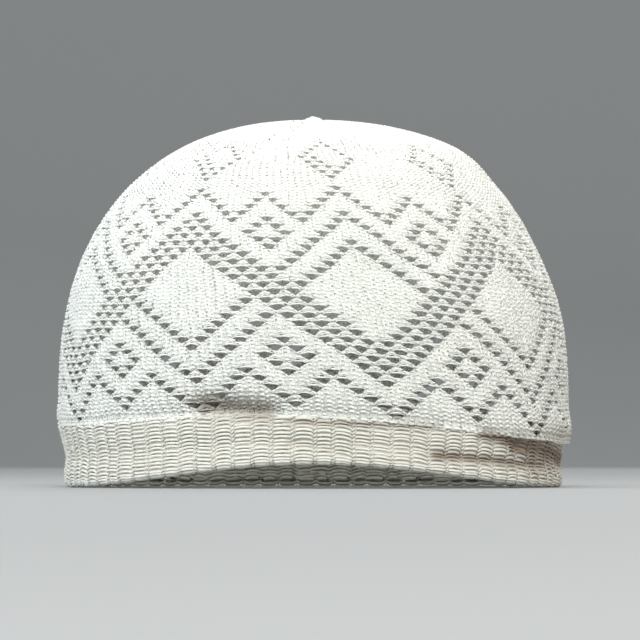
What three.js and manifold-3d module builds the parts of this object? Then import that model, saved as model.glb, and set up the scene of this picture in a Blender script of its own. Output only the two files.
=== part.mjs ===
// A knitted prayer cap: a domed crown pierced by an eyelet lattice, over a doubled band at the brow.
// Millimetres, +Z up. The front faces -Y, and the rim rests on Z = 0 with its front arched clear.
// Azimuth is measured from the front towards +X.
import * as THREE from "three";
import { mergeVertices } from "three/addons/utils/BufferGeometryUtils.js";
import Module from "manifold-3d";

// Dome of the crown, on its outside
const HALF_WIDTH = 85.8;
const DEPTH_RATIO = 1.06; // the oval plan is this many times deeper than it is wide
const APEX_HEIGHT = 123.2;
const WIDEST_HEIGHT = 30.5; // the sides stand almost upright below this
const DOME_POWER = 2.33; // 2 is an elliptic dome, and more gives it squarer shoulders
const HEM_FLARE = 2; // how far the upright sides would spread at Z = 0
const CROWN_WALL = 2;
const FOLD_FADE_RADIUS = 21; // within it the folds fade out towards the top

// Hem of the crown, which arches over the brow and sits lower at the right
const HEM_HEIGHT = 18;
const HEM_DROP = 2.75;
const HEM_ARCH = 5.2;
const HEM_ARCH_AZIMUTH = -2;
const HEM_ARCH_POWER = 2.9;

// Gathered nub at the top
const NUB_RADIUS = 3.2;
const NUB_FLATNESS = 0.55;

// Band, whose outside swells to a shoulder under the hem and whose top is tucked up inside it
const BAND_HALF_WIDTH = 83.6;
const BAND_WALL = 3;
const BAND_HEIGHT = 24;
const SHOULDER_GAP = 0.5; // between the shoulder and the hem over it
const SHOULDER_SWELL = 0.6;
const SHOULDER_LEAN = 0.4; // how much more it swells at the left, and less at the right
const TUCK_INSET = 0.5;
const LINING_UP = 0.5; // where the inside of the band reaches its full wall, as a share of the way to the shoulder
const RIM_WIDTH = 1.1; // the flat under-edge that the cap rests on
const RIM_ARCH = 7.6;
const RIM_ARCH_POWER = 3.8;

// Knit lattice that the eyelets are set out on
const WALES = 162;
const MOTIFS = 9;
const COURSES = 117; // from the hem to the top
const COURSES_PER_ROW = 2; // one eyelet row is two courses
const LAST_ROW = 30; // the lattice's lowest row, counted down from its upper zigzag
const COURSES_UNDER_LAST_ROW = 1;
const FIRST_MOTIF_AZIMUTH = 6.4;
const LEAN_PER_ROW = 0.35; // degrees that each wale leans over one row
const FRONT_STRETCH = 2.7; // degrees that the lowest wales are drawn apart, in front and at the back
const CHEVRON_ROW = 4; // apex of the chevrons
const CHEVRON_STEP = 3; // every third eyelet of a chevron is cut
const STAR_ROW = -6; // centre of the small diamond over each motif
const STAR_RADIUS = 4; // in wales, from its centre to the two eyelets at its sides
const EYELET_WIDTH = 4;
const EYELET_HEIGHT = 2.3;
const EYELET_PITCH_SHARE = 0.95; // widest that an eyelet may be, as a share of its wale
const EYELET_REACH = 9; // how far a cut runs through the wall

// Corners of an eyelet, in shares of its width and height: flat above and drawn to a point below
const EYELET_CORNERS = [
  { across: -0.5, up: 0.3 },
  { across: -0.1, up: -0.5 },
  { across: 0.1, up: -0.5 },
  { across: 0.5, up: 0.3 },
  { across: 0.25, up: 0.5 },
  { across: -0.25, up: 0.5 },
];

// Facets
const SEGMENTS = 56;
const CROWN_STEPS = 17;
const NUB_SIDES = 12;
const NUB_RINGS = 8;
const ARC_STEPS = 600;
const MERGE_TOLERANCE = 1e-4;
const NEARBY = 1e-3; // step, in radians or as a share of the way up, to a neighbour that tells a direction

// Soft folds and hollows, in both pieces: where each one is centred, its half-size, and how far it stands out
const FOLDS = [
  { place: "full right shoulder", azimuth: 90, height: 113, wide_deg: 50, tall: 8, out: 3.6 },
  { place: "flat right side", azimuth: 90, height: 82, wide_deg: 45, tall: 18, out: -1.5 },
  { place: "hollow over the brow", azimuth: -18, height: 26, wide_deg: 11, tall: 4, out: -1.9 },
  { place: "slack over the left of the band", azimuth: -90, height: 22, wide_deg: 35, tall: 5, out: 1.3 },
  { place: "slack over the right of the band", azimuth: 80, height: 18.5, wide_deg: 30, tall: 5, out: 1.1 },
];

// How the crown's outside turns in at the hem, by shares of the way to the top
const HEM_TURN = [
  { share: 0, inward: 1.3 },
  { share: 0.011, inward: 0.6 },
  { share: 0.026, inward: 0.1 },
];

// Rolls of the band's outside: shares of the way from the rim to the shoulder, distances from its half-width,
// and the share of the shoulder's swell that each one takes
const BAND_ROLLS = [
  { up: 0.0, out: -1.8, swell: 0 },
  { up: 0.05, out: -0.8, swell: 0 },
  { up: 0.13, out: -0.1, swell: 0 },
  { up: 0.27, out: 0.3, swell: 0 },
  { up: 0.5, out: -0.5, swell: 0.15 },
  { up: 0.76, out: 0.1, swell: 0.65 },
  { up: 1.0, out: 0.1, swell: 1 },
];

const degrees = THREE.MathUtils.degToRad;
const wasm = await Module();
wasm.setup();

// One side of the crown's section, from Z = 0 to the top, as half-width and height
class Meridian extends THREE.Curve {
  constructor(inset) {
    super();
    this.half = HALF_WIDTH - inset;
    this.rise = APEX_HEIGHT - inset - WIDEST_HEIGHT;
    this.sideShare = WIDEST_HEIGHT / APEX_HEIGHT;
    this.arcLengthDivisions = ARC_STEPS;
  }
  getPoint(t, target = new THREE.Vector2()) {
    const up = t / this.sideShare;
    if (up < 1) return target.set(this.half + HEM_FLARE * (1 - up) ** 2, WIDEST_HEIGHT * up);
    const turn = ((t - this.sideShare) / (1 - this.sideShare)) * (Math.PI / 2);
    const power = 2 / DOME_POWER;
    return target.set(
      this.half * Math.max(0, Math.cos(turn)) ** power,
      WIDEST_HEIGHT + this.rise * Math.sin(turn) ** power,
    );
  }
}
const outside = new Meridian(0);
const inside = new Meridian(CROWN_WALL);

function hemHeight(azimuth) {
  const towardsArch = Math.max(0, Math.cos(azimuth - degrees(HEM_ARCH_AZIMUTH)));
  return HEM_HEIGHT - HEM_DROP * Math.sin(azimuth) + HEM_ARCH * towardsArch ** HEM_ARCH_POWER;
}

function rimHeight(azimuth) {
  return RIM_ARCH * Math.max(0, Math.cos(azimuth)) ** RIM_ARCH_POWER;
}

// How far the folds move the cloth outwards at one place
function foldAt(azimuth, height) {
  let out = 0;
  for (const fold of FOLDS) {
    const apart = azimuth - degrees(fold.azimuth);
    const turned = Math.atan2(Math.sin(apart), Math.cos(apart));
    const across = turned / degrees(fold.wide_deg);
    const along = (height - fold.height) / fold.tall;
    out += fold.out * Math.exp(-across * across - along * along);
  }
  return out;
}

function onOval(azimuth, halfWidth, height) {
  const fading = Math.min(1, halfWidth / FOLD_FADE_RADIUS);
  const half = halfWidth + fading * foldAt(azimuth, height);
  return new THREE.Vector3(half * Math.sin(azimuth), -half * DEPTH_RATIO * Math.cos(azimuth), height);
}

// A place on the crown: share is 0 at the hem and 1 at the top
function crownPoint(azimuth, share, meridian, inward = 0) {
  const hem = hemHeight(azimuth) / meridian.getLength();
  const section = meridian.getPointAt(Math.min(1, hem + (1 - hem) * share));
  return onOval(azimuth, share < 1 ? section.x - inward : 0, section.y);
}

// A place on the band: up is 0 at the rim and 1 at the shoulder, and tuck is 1 at the top inside the hem
function bandPoint(azimuth, { up, tuck = 0, out, swell = 0 }) {
  const rim = rimHeight(azimuth);
  const shoulder = hemHeight(azimuth) - SHOULDER_GAP;
  const height = rim + (shoulder - rim) * up + (rim + BAND_HEIGHT - shoulder) * tuck;
  const swollen = swell * (SHOULDER_SWELL - SHOULDER_LEAN * Math.sin(azimuth));
  return onOval(azimuth, BAND_HALF_WIDTH + out + swollen, height);
}

// Turns a profile of stations round the axis, then sets each vertex where place() puts its station
function revolve(stations, place) {
  const profile = stations.map((station) => {
    const point = place(0, station);
    return new THREE.Vector2(Math.hypot(point.x, point.y), point.z);
  });
  const geometry = new THREE.LatheGeometry(profile, SEGMENTS);
  const position = geometry.getAttribute("position");
  for (let i = 0; i < position.count; i += 1) {
    const segment = Math.floor(i / stations.length) % SEGMENTS;
    const point = place((segment / SEGMENTS) * 2 * Math.PI, stations[i % stations.length]);
    position.setXYZ(i, point.x, point.y, point.z);
  }
  return geometry;
}

// A closed geometry as a solid that can be joined and cut
function solidOf(geometry) {
  geometry.deleteAttribute("normal");
  geometry.deleteAttribute("uv");
  const merged = mergeVertices(geometry, MERGE_TOLERANCE);
  const corners = merged.index.array;
  const triVerts = [];
  for (let i = 0; i < corners.length; i += 3) {
    const [a, b, c] = corners.slice(i, i + 3);
    if (a !== b && b !== c && c !== a) triVerts.push(a, b, c);
  }
  const vertProperties = merged.getAttribute("position").array;
  return new wasm.Manifold(
    new wasm.Mesh({ numProp: 3, vertProperties, triVerts: new Uint32Array(triVerts) }),
  );
}

function geometryOf(solid) {
  const mesh = solid.getMesh();
  const geometry = new THREE.BufferGeometry();
  geometry.setAttribute("position", new THREE.BufferAttribute(mesh.vertProperties, 3));
  geometry.setIndex(new THREE.BufferAttribute(mesh.triVerts, 1));
  geometry.computeVertexNormals();
  return geometry;
}

// Where an eyelet sits on the knit lattice
function latticePlace(wale, row) {
  const course = COURSES_UNDER_LAST_ROW + COURSES_PER_ROW * (LAST_ROW - row);
  const straight = degrees(FIRST_MOTIF_AZIMUTH + LEAN_PER_ROW * row) + (wale / WALES) * 2 * Math.PI;
  const stretch = degrees(FRONT_STRETCH) * Math.max(0, row / LAST_ROW);
  return { azimuth: straight + stretch * Math.sin(2 * straight), share: course / COURSES };
}

// The eyelets of one motif that are cut: both sides of the small diamond and every third one of its chevron
function motifEyelets() {
  const list = [
    { wale: -STAR_RADIUS, row: STAR_ROW },
    { wale: STAR_RADIUS, row: STAR_ROW },
  ];
  const reach = WALES / MOTIFS;
  for (let wale = 0; wale <= reach; wale += CHEVRON_STEP) {
    list.push({ wale, row: CHEVRON_ROW + wale });
    const sharedWithNeighbour = wale === 0 || wale === reach / 2 || wale === reach;
    if (!sharedWithNeighbour) list.push({ wale: -wale, row: CHEVRON_ROW + wale });
  }
  return list;
}

function eyeletShape(width, height) {
  return new THREE.Shape(EYELET_CORNERS.map(({ across, up }) => new THREE.Vector2(across * width, up * height)));
}

function eyeletCutter(wale, row) {
  const { azimuth, share } = latticePlace(wale, row);
  const centre = crownPoint(azimuth, share, outside);
  const across = crownPoint(azimuth + NEARBY, share, outside).sub(centre);
  const pitch = (across.length() / NEARBY) * ((2 * Math.PI) / WALES);
  across.normalize();
  const up = crownPoint(azimuth, share + NEARBY, outside).sub(centre);
  up.addScaledVector(across, -up.dot(across)).normalize();
  const out = new THREE.Vector3().crossVectors(across, up);
  const width = Math.min(EYELET_WIDTH, EYELET_PITCH_SHARE * pitch);
  const geometry = new THREE.ExtrudeGeometry(eyeletShape(width, EYELET_HEIGHT), {
    depth: EYELET_REACH,
    bevelEnabled: false,
  });
  geometry.translate(0, 0, -EYELET_REACH / 2);
  geometry.applyMatrix4(new THREE.Matrix4().makeBasis(across, up, out).setPosition(centre));
  return solidOf(geometry);
}

function makeCrown() {
  const stations = [];
  for (let i = CROWN_STEPS; i >= 0; i -= 1) stations.push({ share: i / CROWN_STEPS, meridian: inside });
  for (const turn of HEM_TURN) stations.push({ ...turn, meridian: outside });
  for (let i = 1; i <= CROWN_STEPS; i += 1) stations.push({ share: i / CROWN_STEPS, meridian: outside });
  const place = (azimuth, { share, meridian, inward }) => crownPoint(azimuth, share, meridian, inward);
  let crown = solidOf(revolve(stations, place));
  const nub = new THREE.SphereGeometry(NUB_RADIUS, NUB_SIDES, NUB_RINGS);
  nub.scale(1, 1, NUB_FLATNESS);
  nub.translate(0, 0, APEX_HEIGHT);
  crown = crown.add(solidOf(nub));
  for (let motif = 0; motif < MOTIFS; motif += 1) {
    const firstWale = (motif * WALES) / MOTIFS;
    for (const { wale, row } of motifEyelets()) {
      crown = crown.subtract(eyeletCutter(firstWale + wale, row));
    }
  }
  return geometryOf(crown);
}

function makeBand() {
  const rimInside = BAND_ROLLS[0].out - RIM_WIDTH;
  const stations = [
    { up: 1, tuck: 1, out: -BAND_WALL },
    { up: LINING_UP, out: -BAND_WALL },
    { up: 0, out: rimInside },
    ...BAND_ROLLS,
    { up: 1, out: -TUCK_INSET },
    { up: 1, tuck: 1, out: -TUCK_INSET },
    { up: 1, tuck: 1, out: -BAND_WALL },
  ];
  return geometryOf(solidOf(revolve(stations, bandPoint)));
}

function piece(name, geometry, color) {
  const material = new THREE.MeshStandardMaterial({ color, roughness: 0.9, metalness: 0 });
  const mesh = new THREE.Mesh(geometry, material);
  mesh.name = name;
  return mesh;
}

const cap = new THREE.Group();
cap.add(piece("crown", makeCrown(), 0xf2f3ee));
cap.add(piece("band", makeBand(), 0xece4d2));
export default cap;
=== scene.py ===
import math

import bpy
import numpy as np
from bpy.props import FloatProperty, FloatVectorProperty, IntProperty, PointerProperty
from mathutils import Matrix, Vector


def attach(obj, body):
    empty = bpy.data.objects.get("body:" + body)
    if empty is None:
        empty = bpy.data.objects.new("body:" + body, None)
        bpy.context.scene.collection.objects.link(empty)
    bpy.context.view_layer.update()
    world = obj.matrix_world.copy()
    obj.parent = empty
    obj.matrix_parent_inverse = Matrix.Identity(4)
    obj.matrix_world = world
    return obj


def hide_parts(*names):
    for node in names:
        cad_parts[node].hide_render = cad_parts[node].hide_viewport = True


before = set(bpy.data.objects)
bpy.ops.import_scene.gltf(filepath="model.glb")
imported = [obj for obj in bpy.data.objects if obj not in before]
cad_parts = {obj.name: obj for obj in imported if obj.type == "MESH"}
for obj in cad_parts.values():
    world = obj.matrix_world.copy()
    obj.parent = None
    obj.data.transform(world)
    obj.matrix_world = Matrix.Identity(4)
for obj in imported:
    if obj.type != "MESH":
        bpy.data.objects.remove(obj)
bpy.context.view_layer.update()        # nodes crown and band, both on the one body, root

BODY = "root"
MM_PER_METRE = 1000

bl_info = {
    "name": "Knitted prayer cap",
    "version": (1, 0, 0),
    "blender": (4, 5, 0),
    "location": "3D View > Sidebar > Cap",
    "description": "Knits a domed prayer cap stitch by stitch, with an eyelet lattice and a ribbed band",
    "category": "Add Mesh",
}


def length(name, metres, text):
    return FloatProperty(name=name, description=text, default=metres, unit="LENGTH", precision=5)


def angle(name, degrees, text):
    return FloatProperty(name=name, description=text, default=math.radians(degrees), unit="ROTATION")


def number(name, value, text):
    return FloatProperty(name=name, description=text, default=value, precision=3)


def count(name, value, text):
    return IntProperty(name=name, description=text, default=value, min=1)


def colour(name, value, text):
    return FloatVectorProperty(
        name=name, description=text, default=value, size=3, subtype="COLOR", min=0, max=1,
    )


class CapShape(bpy.types.PropertyGroup):
    """Sizes of the cap's form, the same as the solids it replaces"""

    half_width: length("Half width", 0.0858, "Widest half-width of the crown's outside")
    depth_ratio: number("Depth ratio", 1.06, "How many times deeper than wide the oval plan is")
    apex_height: length("Apex height", 0.1232, "Height of the crown under its nub")
    widest_height: length("Widest height", 0.0305, "The sides stand almost upright below this")
    dome_power: number("Dome power", 2.33, "2 is an elliptic dome, and more gives squarer shoulders")
    hem_flare: length("Hem flare", 0.002, "How far the upright sides would spread at the floor")
    crown_wall: length("Crown wall", 0.002, "Thickness of the single knit")
    hem_height: length("Hem height", 0.018, "Mean height of the crown's hem")
    hem_drop: length("Hem drop", 0.00275, "How much lower the hem sits at the right")
    hem_arch: length("Hem arch", 0.0052, "Rise of the hem over the brow")
    hem_arch_azimuth: angle("Hem arch azimuth", -2, "Where the hem is highest")
    hem_arch_power: number("Hem arch power", 2.9, "Larger is a narrower arch")
    rim_arch: length("Rim arch", 0.0076, "Rise of the rim over the brow")
    rim_arch_power: number("Rim arch power", 3.8, "Larger is a narrower arch")
    band_half_width: length("Band half width", 0.0836, "Half-width of the band's outside")
    band_wall: length("Band wall", 0.003, "Thickness of the doubled band")
    band_height: length("Band height", 0.024, "Height of the band, with what is tucked under the hem")
    rim_roll: length("Rim roll", 0.0022, "Radius of the turned-under rim")
    shoulder_swell: length("Shoulder swell", 0.0006, "How far the band swells under the hem")
    shoulder_lean: length("Shoulder lean", 0.0004, "Added to the swell at the left, taken off at the right")
    shoulder_gap: length("Shoulder gap", 0.0005, "Between the band's shoulder and the hem over it")


class KnitGauge(bpy.types.PropertyGroup):
    """Stitches and yarn"""

    wales: count("Wales", 162, "Stitches round the crown")
    courses: count("Courses", 117, "Courses from the hem to the top")
    yarn: length("Yarn", 0.00112, "Diameter of the crown's yarn")
    loop_reach: number("Loop reach", 1.22, "How far a loop rises and drops, in courses")
    loop_swing: number("Loop swing", 0.115, "How far a loop bulges sideways, in wales")
    relief: length("Relief", 0.00044, "How far the loops weave in and out of the wall")
    eyelet_width: number("Eyelet width", 0.96, "Half-width of an eyelet's flat top, in wales")
    eyelet_depth: number("Eyelet depth", 0.97, "From its flat top down to its point, in rows")
    eyelet_rise: number("Eyelet rise", 0.10, "How far the strands over it bow up, in rows")
    eyelet_flat: number("Eyelet flat", 1.6, "Larger draws the strands over an eyelet flatter")
    eyelet_tuck: number("Eyelet tuck", 0.25, "Share of the knit over it that is drawn out to its corners")
    drawn_thin: number("Drawn thin", 0.34, "How much thinner the yarn is drawn beside an eyelet")
    first_azimuth: angle("First motif", 6.4, "Where the first motif stands at row 0")
    lean: angle("Lean", 0.35, "How far the wales lean over one row")
    front_stretch: angle("Front stretch", 2.7, "How far the lowest wales are drawn apart in front")
    columns: count("Columns", 80, "Ribs round the band")
    band_courses: count("Band courses", 18, "Purl bars up the band")
    bar: length("Bar", 0.00134, "Diameter of the band's purl bars")
    channel: length("Channel", 0.0009, "Depth of the channel between two ribs")
    unevenness: number("Unevenness", 0.05, "How much hand and yarn vary from stitch to stitch")


class CapColours(bpy.types.PropertyGroup):
    """Colours of the yarns, with the shade painted on them, and of the stage"""

    crown: colour("Crown yarn", (0.86, 0.875, 0.835), "Bleached cotton")
    # Painted shade: the darker colour the crown's yarn takes where it dips into the wall
    crown_painted_shade: colour("Crown shade", (0.58, 0.60, 0.565), "The same yarn where it dips into the wall")
    band: colour("Band yarn", (0.72, 0.715, 0.655), "Ivory cotton of the band")
    # Painted shade: the darker colour the band's yarn takes down in its channels and on the sheet behind its
    # bars
    band_painted_shade: colour("Band shade", (0.62, 0.585, 0.52), "Ivory cotton down in the channels")
    # Brown painted shade that either yarn takes in its creases and under the hem, not wear
    worn: colour("Worn", (0.21, 0.155, 0.11), "Either yarn where wear has browned its creases")
    floor: colour("Floor", (0.34, 0.35, 0.36), "Plain pale floor")


def table(columns, *rows):
    """Rows of values, each by the names of the columns"""
    return tuple(dict(zip(columns.split(), row)) for row in rows)


# Soft folds of the cloth: azimuth, height, half-width, half-height and how far it stands out
FOLDS = table(
    "place azimuth height wide tall out",
    ("full right shoulder", 90, 0.113, 50, 0.008, 0.0036),
    ("flat right side", 90, 0.082, 45, 0.018, -0.0015),
    ("hollow over the brow", -18, 0.026, 11, 0.004, -0.0019),
    ("slack at the left", -90, 0.022, 35, 0.005, 0.0013),
    ("slack at the right", 80, 0.0185, 30, 0.005, 0.0011),
)
FOLDS_END = 0.25        # folds fade away towards the top, within this share of the half-width

# Narrow creases, and bands of brown painted shade in and under them: both ends as azimuth and height,
# half-width, how far it stands out, and how much brown painted shade it takes at each end; over 1, more than
# its middle is shaded all through
CREASES = table(
    "place ends wide out worn",
    ("hollow over the hem", ((-25, 0.0272), (-10, 0.0250)), 0.0033, -0.0018, (0.75, 0.75)),
    ("left end of the hollow", ((-28, 0.0276), (-25.5, 0.0240)), 0.0013, -0.0010, (0.7, 0.7)),
    ("under the hem in front", ((-6, 0.0215), (29, 0.0195)), 0.0011, -0.0009, (0.4, 0.4)),
    ("across the front", ((-5, 0.0148), (7, 0.0118)), 0.0013, -0.0008, (0.15, 0.15)),
    ("along the right", ((28, 0.0107), (66, 0.0068)), 0.0016, -0.0010, (0.85, 0.85)),
    ("under the hem at the right", ((41, 0.0172), (54, 0.0142)), 0.0022, -0.0008, (0.7, 1.2)),
    ("deep fold at the right", ((52, 0.0138), (86, 0.0090)), 0.0032, -0.0012, (1.2, 1.25)),
    ("round the right", ((86, 0.0090), (125, 0.0088)), 0.0030, 0.0, (1.25, 0.0)),
    ("browned right side", ((60, 0.0102), (115, 0.0085)), 0.0062, 0.0, (0.95, 0.0)),
    ("end of the streak at the right", ((50, 0.0078), (74, 0.0066)), 0.0022, 0.0, (0.5, 0.65)),
    ("tinted hem at the right", ((58, 0.0180), (105, 0.0174)), 0.0036, 0.0, (0.3, 0.75)),
    ("tinted hem round the right", ((105, 0.0174), (140, 0.0178)), 0.0036, 0.0, (0.75, 0.0)),
)

# How far the crown turns in at its hem
HEM_TURN = table(
    "azimuth inward",
    (-180, 0.0014),
    (-100, 0.0012),
    (-60, 0.0014),
    (-25, 0.0021),
    (5, 0.0019),
    (35, 0.0014),
    (60, 0.0007),
    (90, 0.0007),
    (130, 0.0012),
    (180, 0.0014),
)
HEM_TURN_REACH = 0.0042

# Rolls of the band's outside: shares of the way from the rim to the shoulder, distances from its half-width,
# and the share of the shoulder's swell that each one takes
BAND_ROLLS = table(
    "up out swell",
    (0.0, 0.0, 0.0),
    (0.26, 0.0003, 0.0),
    (0.5, -0.0005, 0.15),
    (0.76, 0.0001, 0.65),
    (1.0, 0.0001, 1.0),
    (1.1, -0.0007, 0.0),
)

# The eyelet chart: wales across, rows of two courses down
MOTIF = 18              # wales from one motif to the next
REPEAT = 2 * MOTIF
CHEVRON_ROWS = ((4, 8), (4, 6, 8))      # where the chevrons of the two motifs that alternate start
STAR_ROW = -6           # middle of the diamond over each motif
STAR_RADIUS = 4
ZIGZAG_TURN = 5         # wales from the middle of a motif to where its zigzag turns back
SMALL_ROW = 7           # middle of the small diamond between two motifs, from the first row and the last
SMALL_RADIUS = 2
TOP_ROW = STAR_ROW - STAR_RADIUS
LAST_ROW = 30
COURSES_PER_ROW = 2
COURSES_UNDER_LAST_ROW = 1
EYELET_LIFT = 0.73      # an eyelet opens between two loop heads, this many courses up
EYELET_EDGE = 0.25      # its pull on the yarn is full this many wales inside its reach

# Slow drifts of a hand-drawn cloth: waves round the crown, phase for each course, and wales and courses moved
DRIFTS = table(
    "waves lean start aside up",
    (5, 0.55, 0.0, 0.10, 0.0),
    (9, -0.23, 1.3, 0.08, 0.06),
    (11, 0.12, 0.4, 0.0, 0.18),
    (23, -0.2, 2.1, 0.03, 0.12),
)


class CapForm:
    """The cap's surface: places on the crown and the band by azimuth and height"""

    SIDE_STEPS = 60
    DOME_STEPS = 500

    def __init__(self, shape):
        self.shape = shape
        side = np.linspace(0, 1, self.SIDE_STEPS, endpoint=False)
        turn = np.linspace(0, math.pi / 2, self.DOME_STEPS)
        power = 2 / shape.dome_power
        middle = shape.crown_wall / 2
        rise = shape.apex_height - middle - shape.widest_height
        half = shape.half_width - middle
        self.half = np.concatenate([
            half + shape.hem_flare * (1 - side) ** 2,
            half * np.maximum(np.cos(turn), 0) ** power,
        ])
        self.height = np.concatenate([
            shape.widest_height * side,
            shape.widest_height + rise * np.sin(turn) ** power,
        ])
        steps = np.hypot(np.diff(self.half), np.diff(self.height))
        self.along = np.concatenate([[0], np.cumsum(steps)])

    def hem(self, azimuth):
        """Height of the crown's hem"""
        shape = self.shape
        arch = np.maximum(np.cos(azimuth - shape.hem_arch_azimuth), 0) ** shape.hem_arch_power
        return shape.hem_height - shape.hem_drop * np.sin(azimuth) + shape.hem_arch * arch

    def rim(self, azimuth):
        """Height of the band's lowest edge"""
        return self.shape.rim_arch * np.maximum(np.cos(azimuth), 0) ** self.shape.rim_arch_power

    def on_oval(self, azimuth, half, height):
        """A place on the oval plan of this half-width, moved by the folds and creases"""
        out = np.zeros_like(half)
        for fold in FOLDS:
            apart = azimuth - math.radians(fold["azimuth"])
            across = np.arctan2(np.sin(apart), np.cos(apart)) / math.radians(fold["wide"])
            up = (height - fold["height"]) / fold["tall"]
            out += fold["out"] * np.exp(-across ** 2 - up ** 2)
        for crease in CREASES:
            out += crease["out"] * self.in_crease(crease, azimuth, height)[0]
        half = half + out * np.minimum(1, half / (self.shape.half_width * FOLDS_END))
        depth = -half * self.shape.depth_ratio * np.cos(azimuth)
        return np.stack([half * np.sin(azimuth), depth, height], axis=-1)

    def in_crease(self, crease, azimuth, height):
        """How far into a crease a place lies, 1 along its middle, and the share of the way to its last end"""
        (first, low), (last, high) = crease["ends"]
        radius = self.shape.half_width
        across = np.arctan2(np.sin(azimuth), np.cos(azimuth)) * radius - math.radians(first) * radius
        up = height - low
        run = math.radians(last - first) * radius
        rise = high - low
        share = np.clip((across * run + up * rise) / (run ** 2 + rise ** 2), 0, 1)
        apart = np.hypot(across - run * share, up - rise * share)
        return np.exp(-(apart / crease["wide"]) ** 2), share

    def worn(self, point):
        """How much brown painted shade the cloth takes at each point"""
        azimuth = np.arctan2(point[:, 0] * self.shape.depth_ratio, -point[:, 1])
        worn = np.zeros(len(point))
        for crease in CREASES:
            near, share = self.in_crease(crease, azimuth, point[:, 2])
            worn = np.maximum(worn, near * np.interp(share, (0, 1), crease["worn"]))
        return np.minimum(worn, 1)

    def turned_in(self, azimuth, climb):
        """How far the crown turns in, this high over its hem"""
        degrees = np.degrees(np.arctan2(np.sin(azimuth), np.cos(azimuth)))
        azimuths = [row["azimuth"] for row in HEM_TURN]
        inward = np.interp(degrees, azimuths, [row["inward"] for row in HEM_TURN])
        return inward * np.exp(-(np.maximum(climb, 0) / HEM_TURN_REACH) ** 2)

    def radius_at(self, share):
        """Mean radius of the crown, this share of the way to the top"""
        along = self.shape.hem_height + (self.along[-1] - self.shape.hem_height) * share
        return np.interp(along, self.along, self.half) * (1 + self.shape.depth_ratio) / 2

    def crown(self, azimuth, share):
        """A place in the middle of the crown's wall: share is 0 at the hem and 1 at the top"""
        total = self.along[-1]
        hem = self.hem(azimuth)
        along = hem + (total - hem) * share
        half = np.interp(along, self.along, self.half) - self.turned_in(azimuth, along - hem)
        return self.on_oval(azimuth, half, np.interp(along, self.along, self.height))

    def band(self, azimuth, climb, out):
        """A place on the band: climb is up its outside from the rim's roll, and under the rim below 0"""
        shape = self.shape
        roll = shape.rim_roll
        ups = [row["up"] for row in BAND_ROLLS]
        visible = self.hem(azimuth) - shape.shoulder_gap - self.rim(azimuth)
        up = (roll + np.maximum(climb, 0)) / visible
        swell = np.interp(up, ups, [row["swell"] for row in BAND_ROLLS])
        swollen = swell * (shape.shoulder_swell - shape.shoulder_lean * np.sin(azimuth))
        bulge = np.interp(up, ups, [row["out"] for row in BAND_ROLLS]) + swollen
        under = np.maximum(-climb, 0) / roll
        half = shape.band_half_width + bulge - roll + (roll + out) * np.cos(under)
        height = self.rim(azimuth) + roll + np.maximum(climb, 0) - (roll + out) * np.sin(under)
        return self.on_oval(azimuth, half, height)


def unit(vectors):
    return vectors / (np.linalg.norm(vectors, axis=-1, keepdims=True) + 1e-12)


def form_and_knit(context):
    return CapForm(context.scene.cap_shape), context.scene.cap_knit


def surface_frame(place, first, second, step_first=1e-4, step_second=1e-4):
    """Points of a surface and its outward normals, from places a small step to each side"""
    across = place(first + step_first, second) - place(first - step_first, second)
    along = place(first, second + step_second) - place(first, second - step_second)
    return place(first, second), unit(np.cross(across, along))


def eyelet_chart():
    """Which places of one repeat are eyelets, by wale and row"""
    chart = np.zeros((REPEAT, LAST_ROW - TOP_ROW + 1), dtype=bool)

    def mark(wale, row):
        chart[wale % REPEAT, row - TOP_ROW] = True

    def ring(wale, row, radius):
        for step in range(-radius, radius + 1):
            mark(wale + step, row - (radius - abs(step)))
            mark(wale + step, row + (radius - abs(step)))

    for centre, chevrons in zip((0, MOTIF), CHEVRON_ROWS):
        ring(centre, STAR_ROW, STAR_RADIUS)
        # A short slanting row crosses the diamond
        for step in range(STAR_RADIUS):
            mark(centre - step, STAR_ROW + STAR_RADIUS // 2 - step)
        for step in range(-MOTIF // 2, MOTIF // 2 + 1):
            zigzag = ZIGZAG_TURN - abs(ZIGZAG_TURN - abs(step))
            mark(centre + step, zigzag)
            mark(centre + step, LAST_ROW - zigzag)
        for row in (SMALL_ROW, LAST_ROW - SMALL_ROW):
            ring(centre + MOTIF // 2, row, SMALL_RADIUS)
        for start in chevrons:
            for step in range(-MOTIF, MOTIF + 1):
                mark(centre + step, start + abs(step))
    return chart


def row_of(course):
    """Chart row at a height in courses"""
    return LAST_ROW - (course - COURSES_UNDER_LAST_ROW) / COURSES_PER_ROW


def course_of(row):
    """Height in courses of a chart row"""
    return COURSES_UNDER_LAST_ROW + (LAST_ROW - row) * COURSES_PER_ROW


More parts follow.
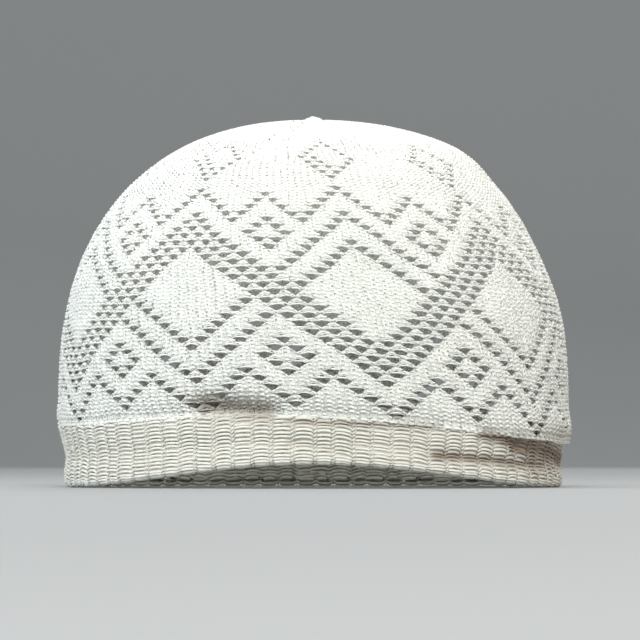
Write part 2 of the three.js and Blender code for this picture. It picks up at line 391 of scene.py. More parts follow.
def open_eyelets(chart, knit, wale, course):
    """Push the yarn aside round each eyelet, so that no strand crosses it, and tell how far it was pushed"""
    row = row_of(course - EYELET_LIFT)
    rising = 2 * np.round((wale + row) / 2)
    falling = 2 * np.round((wale - row) / 2)
    centre_wale = (rising + falling) / 2
    centre_row = (rising - falling) / 2
    on_chart = (centre_row >= TOP_ROW) & (centre_row <= LAST_ROW)
    chart_row = np.clip(centre_row, TOP_ROW, LAST_ROW).astype(int) - TOP_ROW
    is_eyelet = on_chart & chart[centre_wale.astype(int) % REPEAT, chart_row]
    across = wale - centre_wale
    up = centre_row - row
    aside = np.abs(across)
    inside = is_eyelet & (aside + np.abs(up) < 1)
    left = np.clip(1 - aside - np.abs(up), 0, 1)

    # Under the flat top the yarn moves straight away from the middle, out of a V
    spread = 1 + left / np.maximum(aside / knit.eyelet_width - up / knit.eyelet_depth, 1e-3)

    # Over it the yarn is drawn flat, and what lies lowest is drawn out to the corners
    share = np.clip(up / np.maximum(1 - aside, 1e-6), 0, 1)
    wide = knit.eyelet_width * np.maximum(1 - share / knit.eyelet_tuck, 0)
    flat_aside = wide + aside * (1 - wide)
    flat_up = (1 - flat_aside) * (knit.eyelet_rise + (1 - knit.eyelet_rise) * share ** knit.eyelet_flat)

    moved_aside = np.where(up < 0, aside * spread, flat_aside)
    moved_up = np.where(up < 0, up * spread, flat_up)
    moved_wale = centre_wale + np.sign(across) * moved_aside
    moved_course = course_of(centre_row - moved_up) + EYELET_LIFT
    beside = np.where(inside, np.clip(left / EYELET_EDGE, 0, 1), 0)
    return np.where(inside, moved_wale, wale), np.where(inside, moved_course, course), beside


def drifted(knit, wale, course):
    """Places on the knit, moved as the cloth is drawn out of true"""
    for drift in DRIFTS:
        phase = drift["waves"] * 2 * math.pi * wale / knit.wales + drift["lean"] * course + drift["start"]
        wale = wale + drift["aside"] * np.sin(phase)
        course = course + drift["up"] * np.sin(phase)
    return wale, course


def on_crown(form, knit, wale, course):
    """Points of the crown and its outward normals, by wale and course"""
    row = row_of(course)
    azimuth = knit.first_azimuth + knit.lean * row + wale * (2 * math.pi / knit.wales)
    azimuth = azimuth + knit.front_stretch * np.maximum(row / LAST_ROW, 0) * np.sin(2 * azimuth)
    return surface_frame(form.crown, azimuth, course / knit.courses)


class Course:
    """One course of purl loops round the crown"""

    DENSE = 24              # places tried along one loop
    KEPT = 8.5              # places kept, on average
    BEND = 0.9              # a turn of one radian counts as much as this many millimetres of yarn
    FLAT = 1.45             # heads and feet away from eyelets: 0 for round, half of pi for flattest
    SUNK = -0.3             # legs deeper than this, as a share of the relief, are hidden in the wall
    SUNK_SHARE = 0.4        # and count this much

    def __init__(self, knit, chart, course, wales, rng):
        self.knit = knit
        self.chart = chart
        self.course = course
        self.wales = wales
        self.heads = rng.normal(0, knit.unevenness, wales)
        self.feet = rng.normal(0, knit.unevenness, wales)
        self.sway = rng.normal(0, knit.unevenness / 2, wales)

    def loops(self):
        """Wale, course, depth and nearness to an eyelet: a head at turn 0 and a foot half a turn on"""
        knit = self.knit
        stitch = np.repeat(np.arange(self.wales), self.DENSE)
        turn = np.tile(np.arange(self.DENSE) * (2 * math.pi / self.DENSE), self.wales)
        wave = np.cos(turn)
        uneven = self.heads[stitch] * np.maximum(wave, 0) + self.feet[stitch] * np.maximum(-wave, 0)
        swing = knit.loop_swing * np.sin(2 * turn) + self.sway[stitch] * np.abs(wave)
        wale = (stitch - self.wales // 2 + turn / (2 * math.pi) + swing) * knit.wales / self.wales
        height = self.course + knit.loop_reach * wave + uneven
        beside = open_eyelets(self.chart, knit, wale, height)[2]
        flat_wave = np.sin(self.FLAT * wave) / math.sin(self.FLAT)
        height = height + knit.loop_reach * (flat_wave - wave) * (1 - beside)
        wale, height, beside = open_eyelets(self.chart, knit, wale, height)
        wale, height = drifted(knit, wale, height)
        return wale, height, np.cos(2 * turn), beside

    def worth_keeping(self, form, wale, height, depth, beside):
        """The few places that follow the yarn best: more of them where it bends"""
        knit = self.knit
        across = wale * 2 * math.pi * form.radius_at(self.course / knit.courses) / knit.wales
        up = height * form.along[-1] / knit.courses
        line = np.stack([across, up, depth * knit.relief], axis=1) * MM_PER_METRE
        ahead = np.diff(line, axis=0, append=line[-1:])
        step = np.linalg.norm(ahead, axis=1)
        ahead /= step[:, None] + 1e-9
        bend = np.arccos(np.clip((ahead * np.roll(ahead, 1, axis=0)).sum(axis=1), -1, 1))
        bend[[0, -1]] = 0
        seen = np.where((depth < self.SUNK) & (beside == 0), self.SUNK_SHARE, 1)
        measure = np.cumsum((step + self.BEND * bend) * seen)
        kept = int(self.wales * self.KEPT)
        wanted = (np.arange(kept) + 0.5) * measure[-1] / kept
        return np.unique(np.searchsorted(measure, wanted))

    def centre_line(self, form):
        """Points along the yarn, their normals, how deep each one lies in the wall, which sets its painted
        shade, and how thick it is
        """
        knit = self.knit
        yarn = self.loops()
        kept = self.worth_keeping(form, *yarn)
        wale, height, depth, beside = (values[kept] for values in yarn)
        thickness = knit.yarn * (1 - knit.drawn_thin * beside)
        point, normal = on_crown(form, knit, wale, height)
        return point + normal * (knit.relief * depth)[:, None], normal, (1 - depth) / 2, thickness


class YarnTubes:
    """Collects tubes along yarn centre lines and joins them into one mesh"""

    def __init__(self, form, sides=3):
        self.form = form
        self.sides = sides
        self.vertices = []
        self.faces = []
        self.corner_uv = []
        self.recess_painted_shade = []
        self.total = 0

    def add(self, points, normals, radius, recess_painted_shade, closed):
        """One tube, whose radius and painted shade are one value or one for each point"""
        ahead = np.roll(points, -1, axis=0)
        behind = np.roll(points, 1, axis=0)
        if not closed:
            ahead[-1] = points[-1]
            behind[0] = points[0]
        tangent = unit(ahead - behind)
        aside = unit(np.cross(tangent, normals))
        outward = np.cross(aside, tangent)
        turn = math.pi / 2 + np.arange(self.sides) * (2 * math.pi / self.sides)
        rim = aside[:, None] * np.cos(turn)[:, None] + outward[:, None] * np.sin(turn)[:, None]
        rings = points[:, None] + rim * np.broadcast_to(radius, len(points))[:, None, None]
        rows = len(points)
        first = np.arange(rows if closed else rows - 1)
        second = (first + 1) % rows
        side = np.arange(self.sides)
        nextside = (side + 1) % self.sides
        quads = np.stack([
            first[:, None] * self.sides + side,
            second[:, None] * self.sides + side,
            second[:, None] * self.sides + nextside,
            first[:, None] * self.sides + nextside,
        ], axis=-1).reshape(-1, 4)
        run = np.concatenate([[0], np.cumsum(np.linalg.norm(np.diff(points, axis=0), axis=1))])
        run = np.append(run, run[-1] + np.linalg.norm(points[0] - points[-1]))
        along = np.stack([run[first], run[first + 1]], axis=1)
        around = np.stack([side, side + 1], axis=1) / self.sides
        uv = np.empty((len(first), self.sides, 4, 2))
        uv[:, :, 0, 0] = uv[:, :, 3, 0] = along[:, :1]
        uv[:, :, 1, 0] = uv[:, :, 2, 0] = along[:, 1:]
        uv[:, :, 0, 1] = uv[:, :, 1, 1] = around[:, 0]
        uv[:, :, 2, 1] = uv[:, :, 3, 1] = around[:, 1]
        if not closed and self.sides == 4:
            caps = np.array([[0, 1, 2, 3], [3, 2, 1, 0]])
            caps[1] += (rows - 1) * 4
            quads = np.concatenate([quads, caps])
            uv = np.concatenate([uv.reshape(-1, 4, 2), np.zeros((2, 4, 2))])
        self.vertices.append(rings.reshape(-1, 3))
        self.faces.append(quads + self.total)
        self.corner_uv.append(uv.reshape(-1, 2))
        self.recess_painted_shade.append(np.repeat(np.broadcast_to(recess_painted_shade, rows), self.sides))
        self.total += rows * self.sides

    def piece(self, name, material, slot, *nodes):
        obj = cloth(
            self.form, name, np.concatenate(self.vertices), np.concatenate(self.faces),
            np.concatenate(self.recess_painted_shade), np.concatenate(self.corner_uv),
        )
        finished(obj, material, slot, *nodes)


def sheet_corners(levels, around):
    """Corners of the faces of a sheet round the cap: low left first, then counterclockwise from outside"""
    near = np.arange((levels - 1) * around)
    right = near // around * around + (near + 1) % around
    return near, right, right + around, near + around


def cloth(form, name, vertices, faces, recess_painted_shade, corner_uv=None):
    """A smooth object from arrays, whose vertices tell how much painted shade they take where sunk, and how
    much brown painted shade in the creases
    """
    corners = faces.shape[1]
    mesh = bpy.data.meshes.new(name)
    mesh.vertices.add(len(vertices))
    mesh.vertices.foreach_set("co", vertices.ravel())
    mesh.loops.add(faces.size)
    mesh.loops.foreach_set("vertex_index", faces.ravel())
    mesh.polygons.add(len(faces))
    mesh.polygons.foreach_set("loop_start", np.arange(0, faces.size, corners))
    mesh.update(calc_edges=True)
    mesh.polygons.foreach_set("use_smooth", np.ones(len(faces), dtype=bool))
    layer = mesh.uv_layers.new(name="yarn")
    if corner_uv is not None:
        layer.data.foreach_set("uv", corner_uv.ravel())
    # Masks for painted shade: how sunk each vertex is, and the brown painted shade of the creases
    for attribute, values in (("recess_painted_shade", recess_painted_shade), ("worn", form.worn(vertices))):
        data = mesh.attributes.new(attribute, "FLOAT", "POINT").data
        data.foreach_set("value", values)
    mesh.validate()
    obj = bpy.data.objects.new(name, mesh)
    bpy.context.scene.collection.objects.link(obj)
    return obj


def finished(obj, material, slot, *nodes):
    """Give a piece its yarn, its body and the nodes that it stands for"""
    obj.data.materials.append(material)
    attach(obj, BODY)
    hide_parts(*nodes)


# Finish of the cotton, the same all over
COTTON = {
    "Sheen Weight": 0.25,
    "Sheen Roughness": 0.6,
    "Specular IOR Level": 0.25,
    "Subsurface Weight": 0.3,
    "Subsurface Radius": (1.0, 0.95, 0.85),
    "Subsurface Scale": 0.0009,
}
# Painted shade: the most of the shade colour that a loop takes, where it is sunk deepest
DEEPEST_PAINTED_SHADE = 0.8          # how much of the shade a loop takes where it is sunk deepest
BUMP_STRENGTH = 0.35
BUMP_HEIGHT = 0.0002
FIBRE_DETAIL = 3
BLOTCH_DETAIL = 5
BLOTCH_MIDDLE = 0.5         # mean of the noise
BLOTCH_SHADE = 0.55         # how far it moves the tint towards the shade
# How patchy the brown painted shade is, as the least and how much more
PATCHY_BROWN_SHADE = {"least": 0.6, "more": 0.8}
ROUGHNESS = {"least": 0.74, "more": 0.2}


def node_group(name, inputs, outputs):
    group = bpy.data.node_groups.new(name, "ShaderNodeTree")
    for title, kind, value in inputs:
        socket = group.interface.new_socket(title, in_out="INPUT", socket_type=kind)
        socket.default_value = value
    for title, kind in outputs:
        group.interface.new_socket(title, in_out="OUTPUT", socket_type=kind)
    entry = group.nodes.new("NodeGroupInput")
    leave = group.nodes.new("NodeGroupOutput")
    return group, entry.outputs, leave.inputs


def math_node(tree, operation, first, second=None):
    node = tree.nodes.new("ShaderNodeMath")
    node.operation = operation
    for socket, value in zip(node.inputs, (first, second)):
        if isinstance(value, bpy.types.NodeSocket):
            tree.links.new(value, socket)
        elif value is not None:
            socket.default_value = value
    return node.outputs[0]


def ranged(tree, value, limits):
    """A value from 0 to 1, as the least and how much more"""
    return math_node(tree, "ADD", math_node(tree, "MULTIPLY", value, limits["more"]), limits["least"])


def mixed(tree, share, first, second):
    node = tree.nodes.new("ShaderNodeMix")
    node.data_type = "RGBA"
    for title, value in (("Factor", share), ("A", first), ("B", second)):
        tree.links.new(value, node.inputs[title])
    return node.outputs["Result"]


def yarn_twist_group():
    """Height of a plied, hairy yarn: plies wind round its own length, fibres lie across it"""
    group, given, put = node_group(
        "Yarn twist",
        [("Turns per metre", "NodeSocketFloat", 320.0), ("Plies", "NodeSocketFloat", 3.0),
         ("Fibre scale", "NodeSocketFloat", 3800.0), ("Fibre share", "NodeSocketFloat", 0.4)],
        [("Height", "NodeSocketFloat")],
    )
    uv = group.nodes.new("ShaderNodeUVMap")
    uv.uv_map = "yarn"
    split = group.nodes.new("ShaderNodeSeparateXYZ")
    group.links.new(uv.outputs[0], split.inputs[0])
    wound = math_node(group, "MULTIPLY", split.outputs["X"], given["Turns per metre"])
    around = math_node(group, "MULTIPLY", split.outputs["Y"], given["Plies"])
    phase = math_node(group, "MULTIPLY", math_node(group, "ADD", wound, around), math.pi)
    ply = math_node(group, "ABSOLUTE", math_node(group, "SINE", phase))
    place = group.nodes.new("ShaderNodeTexCoord")
    fibre = group.nodes.new("ShaderNodeTexNoise")
    fibre.inputs["Detail"].default_value = FIBRE_DETAIL
    group.links.new(place.outputs["Object"], fibre.inputs["Vector"])
    group.links.new(given["Fibre scale"], fibre.inputs["Scale"])
    hair = math_node(group, "MULTIPLY", fibre.outputs["Fac"], given["Fibre share"])
    group.links.new(math_node(group, "ADD", ply, hair), put["Height"])
    return group


def yarn_tint_group():
    """Colour of a dyed or bleached yarn: uneven along its length, with painted shade where it dips into the
    cloth and brown painted shade in the creases
    """
    group, given, put = node_group(
        "Yarn tint",
        [("Bright", "NodeSocketColor", (1, 1, 1, 1)), ("Painted shade colour", "NodeSocketColor", (0.5, 0.5, 0.5, 1)),
         ("Worn", "NodeSocketColor", (0.4, 0.3, 0.2, 1)), ("Share of painted shade", "NodeSocketFloat", 0.6),
         ("Blotch scale", "NodeSocketFloat", 90.0)],
        [("Color", "NodeSocketColor"), ("Roughness", "NodeSocketFloat")],
    )
    recess_painted_shade = group.nodes.new("ShaderNodeAttribute")
    recess_painted_shade.attribute_name = "recess_painted_shade"
    place = group.nodes.new("ShaderNodeTexCoord")
    blotch = group.nodes.new("ShaderNodeTexNoise")
    blotch.inputs["Detail"].default_value = BLOTCH_DETAIL
    group.links.new(place.outputs["Object"], blotch.inputs["Vector"])
    group.links.new(given["Blotch scale"], blotch.inputs["Scale"])
    # Painted shade: the deeper a loop is sunk, the more of the shade colour it takes
    sunk = math_node(group, "MULTIPLY", recess_painted_shade.outputs["Fac"], given["Share of painted shade"])
    off_middle = math_node(group, "SUBTRACT", blotch.outputs["Fac"], BLOTCH_MIDDLE)
    uneven = math_node(group, "MULTIPLY", off_middle, BLOTCH_SHADE)
    clamp = group.nodes.new("ShaderNodeClamp")
    group.links.new(math_node(group, "ADD", sunk, uneven), clamp.inputs["Value"])
    shaded = mixed(group, clamp.outputs[0], given["Bright"], given["Painted shade colour"])
    # Brown painted shade in the creases and under the hem, made patchy by the noise
    worn = group.nodes.new("ShaderNodeAttribute")
    worn.attribute_name = "worn"
    patchy = ranged(group, blotch.outputs["Fac"], PATCHY_BROWN_SHADE)
    browned = math_node(group, "MULTIPLY", worn.outputs["Fac"], patchy)
    group.links.new(mixed(group, browned, shaded, given["Worn"]), put["Color"])
    group.links.new(ranged(group, blotch.outputs["Fac"], ROUGHNESS), put["Roughness"])
    return group


def shared_group(name, maker):
    return bpy.data.node_groups.get(name) or maker()


def yarn_material(name, bright, deep):
    """Matte plied cotton"""
    known = bpy.data.materials.get(name)
    if known:
        return known
    material = bpy.data.materials.new(name)
    material.use_nodes = True
    tree = material.node_tree
    shader = tree.nodes["Principled BSDF"]
    for title, value in COTTON.items():
        shader.inputs[title].default_value = value
    # The tint paints shade where the yarn is sunk, and brown shade in the creases
    tint = tree.nodes.new("ShaderNodeGroup")
    tint.node_tree = shared_group("Yarn tint", yarn_tint_group)
    tint.inputs["Bright"].default_value = (*bright, 1)
    tint.inputs["Painted shade colour"].default_value = (*deep, 1)
    tint.inputs["Worn"].default_value = (*bpy.context.scene.cap_colours.worn, 1)
    tint.inputs["Share of painted shade"].default_value = DEEPEST_PAINTED_SHADE
    twist = tree.nodes.new("ShaderNodeGroup")
    twist.node_tree = shared_group("Yarn twist", yarn_twist_group)
    relief = tree.nodes.new("ShaderNodeBump")
    relief.inputs["Strength"].default_value = BUMP_STRENGTH
    relief.inputs["Distance"].default_value = BUMP_HEIGHT
    tree.links.new(twist.outputs["Height"], relief.inputs["Height"])
    tree.links.new(relief.outputs["Normal"], shader.inputs["Normal"])
    tree.links.new(tint.outputs["Color"], shader.inputs["Base Color"])
    tree.links.new(tint.outputs["Roughness"], shader.inputs["Roughness"])
    return material


def crown_yarn():
    colours = bpy.context.scene.cap_colours
    return yarn_material("Bleached cotton", colours.crown, colours.crown_painted_shade)


def band_yarn():
    colours = bpy.context.scene.cap_colours
    return yarn_material("Ivory cotton", colours.band, colours.band_painted_shade)


class CAP_OT_knit_crown(bpy.types.Operator):
    """Knit the crown, course by course, with its eyelets open"""

    bl_idname = "cap.knit_crown"
    bl_label = "Knit crown"

    FIRST_COURSE = 1        # its feet are the hem
    LAST_FULL_COURSE = 84   # above it, one stitch of each sector is dropped whenever they get too narrow
    SECTORS = 9
    NARROWEST = 0.0019
    WIDENING = 0.00007      # how much wider the narrowest stitch is with each course
    WIDEST = 0.0027
    COURSES_PER_PIECE = 17
    INNERMOST = 0.0034      # radius of the opening that the nub closes
    THICKNESS_SPREAD = 0.03
    SEED = 11

    def execute(self, context):
        form, knit = form_and_knit(context)
        chart = eyelet_chart()
        rng = np.random.default_rng(self.SEED)
        wales = knit.wales
        piece = 0
        tubes = YarnTubes(form)
        for course in range(self.FIRST_COURSE, knit.courses):
            radius = form.radius_at(course / knit.courses)
            around = 2 * math.pi * radius
            if radius < self.INNERMOST:
                break
            over = max(course - self.LAST_FULL_COURSE, 0)
            narrowest = min(self.NARROWEST + self.WIDENING * over, self.WIDEST)
            while over and wales > self.SECTORS and around / wales < narrowest:
                wales -= self.SECTORS
            points, normals, recess_painted_shade, thickness = Course(knit, chart, course, wales, rng).centre_line(form)
            uneven = 1 + rng.normal(0, self.THICKNESS_SPREAD, len(points))
            tubes.add(points, normals, thickness / 2 * uneven, recess_painted_shade, closed=True)
            if (course + 1) % self.COURSES_PER_PIECE == 0:
                piece += 1
                tubes.piece(f"crown_knit_{piece}", crown_yarn(), "crown_yarn", "crown")
                tubes = YarnTubes(form)
        tubes.piece(f"crown_knit_{piece + 1}", crown_yarn(), "crown_yarn", "crown")
        return {"FINISHED"}


class CAP_OT_back_crown(bpy.types.Operator):
    """Lay the felted backs of the loops behind them, as a sheet that is open at each eyelet"""

    bl_idname = "cap.back_crown"
    bl_label = "Back crown"

    FIRST_LEVEL = -1        # one course under the hem
    STAND_OUT = 0.0001      # from the middle of the wall
    # Painted shade that the sheet behind the loops takes
    PAINTED_SHADE_AMOUNT = 0.55

    def execute(self, context):
        form, knit = form_and_knit(context)
        chart = eyelet_chart()
        levels = np.arange(self.FIRST_LEVEL, knit.courses)
        wale, level = np.meshgrid(np.arange(knit.wales) - knit.wales // 2, levels)
        row = row_of(level)
        chart_row = np.clip(np.floor(row).astype(int), TOP_ROW, LAST_ROW)
        eyelet = (row == chart_row) & chart[wale % REPEAT, chart_row - TOP_ROW]
        opened = open_eyelets(chart, knit, wale.ravel().astype(float), level.ravel() + EYELET_LIFT)
        point, normal = on_crown(form, knit, *drifted(knit, *opened[:2]))
        faces = self.faces(len(levels), knit.wales, eyelet.ravel())
        recess_painted_shade = np.full(len(point), self.PAINTED_SHADE_AMOUNT)
        obj = cloth(form, "crown_backs", point + normal * self.STAND_OUT, faces, recess_painted_shade)
        finished(obj, crown_yarn(), "crown_yarn", "crown")
        return {"FINISHED"}

    def faces(self, levels, wales, eyelet):
        """Triangles of the sheet, without the four that meet in each eyelet"""
        near, right, across, above = sheet_corners(levels, wales)
        turned = (eyelet[near] | eyelet[across])[:, None]
        first = np.where(turned, np.stack([near, right, above], 1), np.stack([near, right, across], 1))
        second = np.where(turned, np.stack([right, across, above], 1), np.stack([near, across, above], 1))
        faces = np.concatenate([first, second])
        return faces[~eyelet[faces].any(axis=1)]


class CAP_OT_gather_top(bpy.types.Operator):
    """Draw the last loops together in a small wound nub"""

    bl_idname = "cap.gather_top"
    bl_label = "Gather top"

    RADIUS = 0.0027
    FLATNESS = 0.5
    WINDS = 7
    SAMPLES = 18            # places along one wind
    FIRST_POLAR = 112       # degrees from straight up, where the winding starts
    LAST_POLAR = 8
    WOBBLE = 0.06           # how much its radius varies, and how often in one wind
    WOBBLES = 2.3
    SUNK = 0.0006           # how far its middle lies under the crown's top
    YARN_SHARE = 0.55       # radius of its yarn, in diameters of the crown's
    # Painted shade that the nub's yarn takes
    PAINTED_SHADE_AMOUNT = 0.2

    def execute(self, context):
        shape = context.scene.cap_shape
        knit = context.scene.cap_knit
        share = np.linspace(0, 1, self.WINDS * self.SAMPLES)
        turn = share * self.WINDS * 2 * math.pi
        polar = math.radians(self.FIRST_POLAR) - share * math.radians(self.FIRST_POLAR - self.LAST_POLAR)
        wobble = 1 + self.WOBBLE * np.sin(turn * self.WOBBLES)
        outward = np.stack([
            np.sin(polar) * np.cos(turn),
            np.sin(polar) * np.sin(turn),
            np.cos(polar) * self.FLATNESS,
        ], axis=-1)
        points = outward * (self.RADIUS * wobble)[:, None]
        points[:, 2] += shape.apex_height - self.SUNK
        normals = outward / np.linalg.norm(outward, axis=1, keepdims=True)
        tubes = YarnTubes(CapForm(shape), sides=4)
        tubes.add(points, normals, knit.yarn * self.YARN_SHARE, self.PAINTED_SHADE_AMOUNT, closed=False)
        tubes.piece("top_nub", crown_yarn(), "crown_yarn", "crown")
        return {"FINISHED"}


class CAP_OT_bind_hem(bpy.types.Operator):
    """Bind the crown's hem with a row of floats"""

    bl_idname = "cap.bind_hem"
    bl_label = "Bind hem"

    SAMPLES = 5             # places along one float
    LEVEL = -0.2            # in courses
    BOW = 0.3               # how far a float bows up, in courses
    BOW_SPREAD = 0.12
    STAND_OUT = 1.3         # how far its middle stands out from its ends, in reliefs of the knit
    SUNK = 0.6              # how far its ends lie in the wall
    YARN_SHARE = 0.53       # radius of its yarn, in diameters of the crown's
    SEED = 5

    def execute(self, context):
        form, knit = form_and_knit(context)
        rng = np.random.default_rng(self.SEED)
        tubes = YarnTubes(form)
        stitch = np.repeat(np.arange(knit.wales), self.SAMPLES)
        within = np.tile(np.arange(self.SAMPLES) / self.SAMPLES, knit.wales)
        uneven = rng.normal(0, self.BOW_SPREAD, knit.wales)[stitch]
        bow = np.sin(math.pi * within)
        start = knit.first_azimuth + knit.lean * LAST_ROW
        azimuth = start + (stitch + within) * (2 * math.pi / knit.wales)
        height = self.LEVEL + self.BOW * bow + uneven * bow
        point, normal = surface_frame(form.crown, azimuth, height / knit.courses)
        lift = knit.relief * (self.STAND_OUT * bow - self.SUNK)
        # The float's sunk ends take painted shade
        tubes.add(point + normal * lift[:, None], normal, knit.yarn * self.YARN_SHARE, 1 - bow, closed=True)
        tubes.piece("crown_hem", crown_yarn(), "crown_yarn", "crown")
        return {"FINISHED"}


class BandBars:
    """Rounds of purl bars that make the band's columns"""

    STAGGER = 0.25          # every other column stands this much higher or lower; heights are in bars
    STAGGER_SPREAD = 0.2
    TILT = -0.10            # rise of a bar from its middle to its right end
    TILT_SPREAD = 0.16
    EDGE_SPREAD = 0.07      # how unevenly the columns are set, in columns
    BOW = 0.30
    HEIGHT_SPREAD = 0.10
    DIP_REACH = 0.12        # share of a bar over which its end dips into the channel
    DIP_DROP = 0.3
    DIP_THINNING = 0.15
    CLIMB_STEP = 1e-5       # small step up the band, for its normals

    def __init__(self, form, knit, seed):
        self.form = form
        self.knit = knit
        self.rng = np.random.default_rng(seed)
        alternate = np.where(np.arange(knit.columns) % 2, self.STAGGER, -self.STAGGER)
        self.stagger = alternate + self.rng.normal(0, self.STAGGER_SPREAD, knit.columns)
        self.tilt = self.rng.normal(self.TILT, self.TILT_SPREAD, knit.columns)
        uneven = np.append(self.rng.normal(0, self.EDGE_SPREAD, knit.columns), 0)
        self.edge = np.arange(knit.columns + 1) + uneven
        self.edge[-1] = knit.columns + self.edge[0]

    def add(self, tubes, climb, pitch, along_bar, depth, thickness):
        """One round of bars: each one bows up, and dips into the channel at both ends"""
        columns = self.knit.columns
        column = np.repeat(np.arange(columns), len(along_bar))
        within = np.tile(along_bar, columns)
        dip = np.exp(-(np.minimum(within, 1 - within) / self.DIP_REACH) ** 2)
        bow = self.BOW * (1 - (2 * within - 1) ** 2) + self.tilt[column] * (2 * within - 1)
        uneven = self.rng.normal(0, self.HEIGHT_SPREAD, columns)[column] * (1 - dip)
        azimuth = self.edge[column] + within * (self.edge[column + 1] - self.edge[column])
        azimuth = azimuth * (2 * math.pi / columns)
        rise = self.stagger[column] * (1 - dip) + bow + uneven - self.DIP_DROP * dip
        height = climb + rise * pitch
        out = depth - self.knit.channel * dip

        def place(first, second):
            return self.form.band(first, second, out)

        point, normal = surface_frame(place, azimuth, height, step_second=self.CLIMB_STEP)
        # A bar's ends take painted shade where they dip into the channel
        tubes.add(point, normal, thickness / 2 * (1 - self.DIP_THINNING * dip), dip, closed=True)


class CAP_OT_knit_band(bpy.types.Operator):
    """Knit the band's purl bars in columns, round its rolled rim, with the loops that tie them"""

    bl_idname = "cap.knit_band"
    bl_label = "Knit band"

    ALONG_BAR = (0.0, 0.09, 0.2, 0.4, 0.6, 0.8, 0.91)
    UNDER_RIM = 3

    # One tie across a channel: how far aside, how far up in bars, and how far outward
    TIE = table(
        "aside up out",
        (-0.0006, -0.5, -0.0011),
        (0.0, 0.0, -0.0004),
        (0.0006, 0.5, -0.0011),
    )
    TIE_RADIUS = 0.00032
    TIE_SPREAD = 0.12       # how unevenly the ties sit, in bars
    # Painted shade that the ties take, down in the channel
    TIE_SHADE_PAINT = 0.25
    BACK_DEPTH = 0.0010
    # Painted shade of the sheet behind the bars, near the full shade colour
    BACK_SHADE_PAINT = 0.9
    SEED = 23

    def execute(self, context):
        form, knit = form_and_knit(context)
        pitch = (form.shape.band_height - form.shape.rim_roll) / knit.band_courses
        rounds = BandBars(form, knit, self.SEED)
        bars = YarnTubes(form)
        ties = YarnTubes(form, sides=4)
        for level in range(-self.UNDER_RIM, knit.band_courses):
            rounds.add(bars, level * pitch, pitch, self.ALONG_BAR, -knit.bar / 2, knit.bar)
            self.add_ties(rounds, ties, level, pitch)
        bars.piece("band_bars", band_yarn(), "band_yarn", "band")
        ties.piece("band_ties", band_yarn(), "band_yarn", "band")
        self.back(form, knit, pitch)
        return {"FINISHED"}

    def back(self, form, knit, pitch):
        """The soft sheet behind the bars"""
        around = 2 * knit.columns
        levels = np.arange(-self.UNDER_RIM, knit.band_courses)
        azimuth, level = np.meshgrid(np.arange(around) * (2 * math.pi / around), levels)
        point = form.band(azimuth.ravel(), level.ravel() * pitch, -self.BACK_DEPTH)
        faces = np.stack(sheet_corners(len(levels), around), axis=1)
        obj = cloth(form, "band_backs", point, faces, np.full(len(point), self.BACK_SHADE_PAINT))
        finished(obj, band_yarn(), "band_yarn", "band")

    def add_ties(self, rounds, tubes, level, pitch):
        form = rounds.form
        columns = rounds.knit.columns
        half_round = form.shape.band_half_width * (1 + form.shape.depth_ratio) / 2
        aside, up, out = np.array([list(row.values()) for row in self.TIE]).T
        aside = aside / half_round

        def place(first, second):
            return form.band(first, second, out)

        for edge in rounds.edge[:-1]:
            azimuth = edge * (2 * math.pi / columns) + aside
            climb = (level + rounds.rng.normal(0, self.TIE_SPREAD) + up) * pitch
            point, normal = surface_frame(place, azimuth, climb, step_second=rounds.CLIMB_STEP)
            tubes.add(point, normal, self.TIE_RADIUS, self.TIE_SHADE_PAINT, closed=False)


class CAP_OT_line_band(bpy.types.Operator):
    """Knit the band's inner layer, plainer than the outside"""

    bl_idname = "cap.line_band"
    bl_label = "Line band"

    ALONG_BAR = (0.0, 0.2, 0.5, 0.8)
    LEVELS = 18
    THICKNESS = 0.0016
    SEED = 31

    def execute(self, context):
        form, knit = form_and_knit(context)
        pitch = (form.shape.band_height - form.shape.rim_roll) / self.LEVELS
        rounds = BandBars(form, knit, self.SEED)
        tubes = YarnTubes(form)
        depth = self.THICKNESS / 2 - form.shape.band_wall
        for level in range(self.LEVELS):
            rounds.add(tubes, level * pitch, pitch, self.ALONG_BAR, depth, self.THICKNESS)
        tubes.piece("band_inside", band_yarn(), "band_yarn", "band")
        return {"FINISHED"}


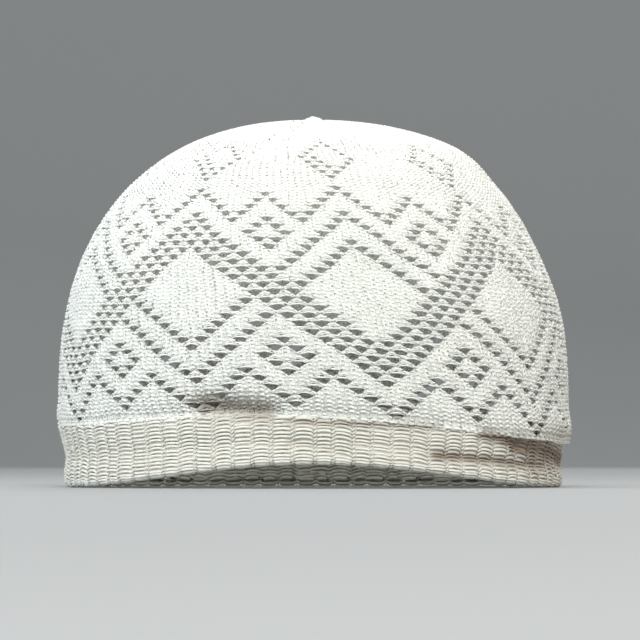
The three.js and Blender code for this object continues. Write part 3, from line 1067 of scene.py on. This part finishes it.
class CAP_OT_stage(bpy.types.Operator):
    """Set the floor, the lights and the camera"""

    bl_idname = "cap.stage"
    bl_label = "Stage"

    PHOTO_SIZE = 640
    MM_PER_PIXEL = 0.336
    CAP_MIDDLE_X = 313.5      # pixel column of the cap's middle
    FLOOR_Y = 487             # pixel row of the rim's lowest edge
    DISTANCE = 1.8
    EYE_HEIGHT = 0.012
    SENSOR = 36.0
    NEAREST = 0.01
    FLOOR_HALF = 8.0
    FLOOR_ROUGHNESS = 0.9
    SWEEP_START = 2.3         # the floor sweeps up into a plain wall behind the cap
    SWEEP_RADIUS = 0.8
    SWEEP_STEPS = 12
    WALL_HEIGHT = 2
    ROOM_COLOUR = (0.97, 1.0, 0.97, 1)
    ROOM_STRENGTH = 0.33
    LIGHTS_AIM = (0, 0, 0.05)
    LIGHTS = table(
        "name at size power colour",
        ("key", (0.10, -3.00, 1.85), 1.6, 108, (1.0, 1.0, 0.97)),
        ("top", (-0.05, -0.10, 1.25), 0.9, 7, (1.0, 1.0, 1.0)),
        ("left", (-1.2, -0.25, 0.35), 0.6, 8, (0.90, 0.96, 1.0)),
        ("right", (1.3, -0.6, 0.5), 0.9, 5, (1.0, 0.90, 0.78)),
        ("back", (0.5, 1.9, 1.3), 1.2, 14, (1.0, 1.0, 0.98)),
        ("inside", (0.0, 0.0, 0.04), 0.06, 0.055, (1.0, 0.98, 0.92)),
    )

    def execute(self, context):
        self.lay_floor(context)
        for light in self.LIGHTS:
            self.hang_light(context, light)
        self.set_camera(context)
        world = bpy.data.worlds.new("Soft room")
        world.use_nodes = True
        background = world.node_tree.nodes["Background"]
        background.inputs["Color"].default_value = self.ROOM_COLOUR
        background.inputs["Strength"].default_value = self.ROOM_STRENGTH
        context.scene.world = world
        context.scene.view_settings.view_transform = "Standard"
        return {"FINISHED"}

    def lay_floor(self, context):
        bpy.ops.object.select_all(action="DESELECT")
        half = self.FLOOR_HALF
        bpy.ops.mesh.primitive_plane_add(size=2 * half)
        floor = context.object
        floor.name = "floor"
        back = self.SWEEP_START
        place = np.array([(-half, -half, 0), (half, -half, 0), (-half, back, 0), (half, back, 0)])
        floor.data.vertices.foreach_set("co", place.ravel())
        bpy.ops.object.mode_set(mode="EDIT")
        bpy.ops.mesh.select_mode(type="EDGE")
        bpy.ops.mesh.select_all(action="DESELECT")
        bpy.ops.object.mode_set(mode="OBJECT")
        for edge in floor.data.edges:
            edge.select = all(floor.data.vertices[v].co.y > 0 for v in edge.vertices)
        bpy.ops.object.mode_set(mode="EDIT")
        step = math.pi / 2 / self.SWEEP_STEPS
        for i in range(self.SWEEP_STEPS):
            forward = self.SWEEP_RADIUS * (math.sin((i + 1) * step) - math.sin(i * step))
            upward = self.SWEEP_RADIUS * (math.cos(i * step) - math.cos((i + 1) * step))
            bpy.ops.mesh.extrude_region_move(TRANSFORM_OT_translate={"value": (0, forward, upward)})
        bpy.ops.mesh.extrude_region_move(TRANSFORM_OT_translate={"value": (0, 0, self.WALL_HEIGHT)})
        bpy.ops.object.mode_set(mode="OBJECT")
        bpy.ops.object.shade_smooth()
        material = bpy.data.materials.new("Plain floor")
        material.use_nodes = True
        shader = material.node_tree.nodes["Principled BSDF"]
        shader.inputs["Base Color"].default_value = (*context.scene.cap_colours.floor, 1)
        shader.inputs["Roughness"].default_value = self.FLOOR_ROUGHNESS
        floor.data.materials.append(material)

    def hang_light(self, context, light):
        data = bpy.data.lights.new(light["name"], "AREA")
        data.size = light["size"]
        data.energy = light["power"]
        data.color = light["colour"]
        obj = bpy.data.objects.new(light["name"], data)
        obj.location = light["at"]
        aim = Vector(self.LIGHTS_AIM) - obj.location
        obj.rotation_euler = aim.to_track_quat("-Z", "Y").to_euler()
        context.scene.collection.objects.link(obj)

    def set_camera(self, context):
        pixel = self.MM_PER_PIXEL / MM_PER_METRE
        middle = self.PHOTO_SIZE / 2
        aim = Vector(((middle - self.CAP_MIDDLE_X) * pixel, 0, (self.FLOOR_Y - middle) * pixel))
        data = bpy.data.cameras.new("photo_view")
        data.sensor_width = self.SENSOR
        data.lens = self.SENSOR * self.DISTANCE / (self.PHOTO_SIZE * pixel)
        data.clip_start = self.NEAREST
        camera = bpy.data.objects.new("photo_view", data)
        camera.location = (aim.x, -self.DISTANCE, self.EYE_HEIGHT)
        camera.rotation_euler = (aim - camera.location).to_track_quat("-Z", "Y").to_euler()
        context.scene.collection.objects.link(camera)
        context.scene.camera = camera


class CAP_PT_panel(bpy.types.Panel):
    bl_idname = "CAP_PT_panel"
    bl_label = "Knitted prayer cap"
    bl_space_type = "VIEW_3D"
    bl_region_type = "UI"
    bl_category = "Cap"

    def draw(self, context):
        for operator in OPERATORS:
            self.layout.operator(operator.bl_idname)
        for group in ("cap_shape", "cap_knit", "cap_colours"):
            box = self.layout.box()
            settings = getattr(context.scene, group)
            for name in settings.__annotations__:
                box.prop(settings, name)


OPERATORS = (
    CAP_OT_stage,
    CAP_OT_knit_crown,
    CAP_OT_back_crown,
    CAP_OT_gather_top,
    CAP_OT_bind_hem,
    CAP_OT_knit_band,
    CAP_OT_line_band,
)
GROUPS = (CapShape, KnitGauge, CapColours)


def register():
    for cls in GROUPS + OPERATORS + (CAP_PT_panel,):
        bpy.utils.register_class(cls)
    bpy.types.Scene.cap_shape = PointerProperty(type=CapShape)
    bpy.types.Scene.cap_knit = PointerProperty(type=KnitGauge)
    bpy.types.Scene.cap_colours = PointerProperty(type=CapColours)


def unregister():
    del bpy.types.Scene.cap_colours
    del bpy.types.Scene.cap_knit
    del bpy.types.Scene.cap_shape
    for cls in reversed(GROUPS + OPERATORS + (CAP_PT_panel,)):
        bpy.utils.unregister_class(cls)


def main():
    register()
    bpy.ops.cap.stage()
    bpy.ops.cap.knit_crown()
    bpy.ops.cap.back_crown()
    bpy.ops.cap.gather_top()
    bpy.ops.cap.bind_hem()
    bpy.ops.cap.knit_band()
    bpy.ops.cap.line_band()


if __name__ == "__main__":
    main()
